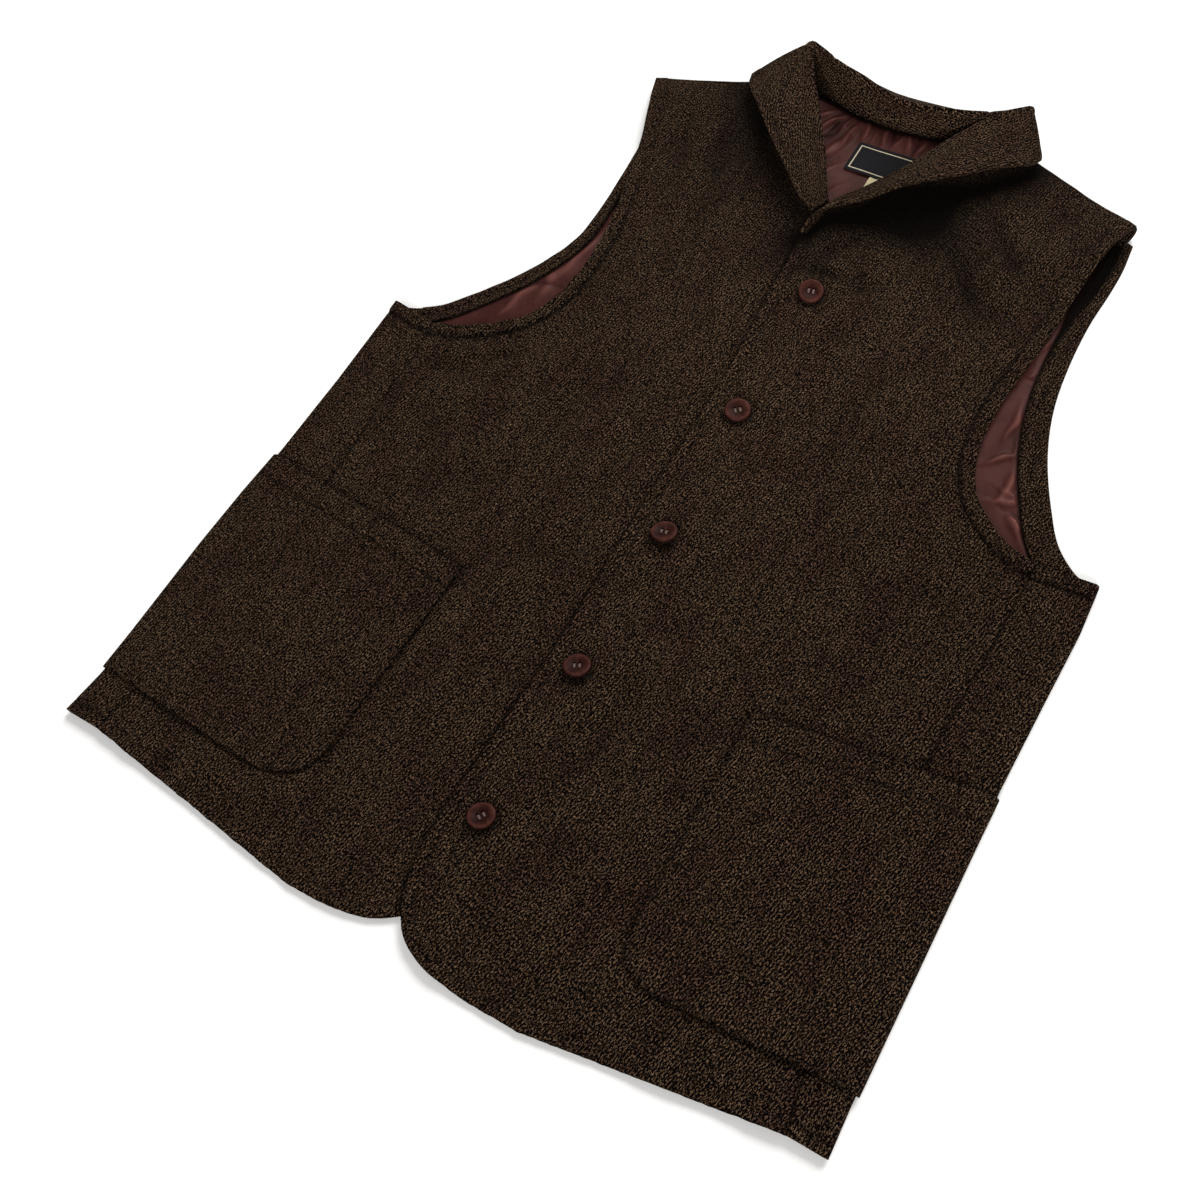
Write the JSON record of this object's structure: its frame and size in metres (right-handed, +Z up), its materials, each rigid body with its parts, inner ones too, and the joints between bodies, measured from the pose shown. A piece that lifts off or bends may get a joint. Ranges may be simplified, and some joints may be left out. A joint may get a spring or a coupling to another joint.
{
  "type": "suit waistcoat",
  "caption": "Sleeveless tweed suit waistcoat with shawl collar, satin lining and patch pockets, buttoned up the front and laid flat on its back",
  "frame": {"origin": "middle of the footprint, on the table the garment lies on", "axes": "+X to the wearer's left, +Y up the garment to the neck, +Z up from the table through the back and then the fronts"},
  "size_m": [0.5254, 0.7176, 0.0311],
  "materials": {
    "tweed": "brown salt-and-pepper wool twill, matt, slightly hairy",
    "satin": "burgundy satin lining, soft sheen",
    "button_horn": "burgundy-brown horn-look resin, satin polish",
    "black_tape": "plain black woven tape",
    "cream_tape": "plain cream woven tape"
  },
  "bodies": {
    "root": {"back": "tweed", "front_right": "tweed", "front_left": "tweed", "collar": "tweed", "pocket_right": "tweed", "pocket_left": "tweed", "facing_right": "tweed", "facing_left": "tweed", "lining": "satin", "button_1": "button_horn", "button_2": "button_horn", "button_3": "button_horn", "button_4": "button_horn", "button_5": "button_horn", "label": "black_tape", "size_tab": "cream_tape"}
  },
  "joints": []
}
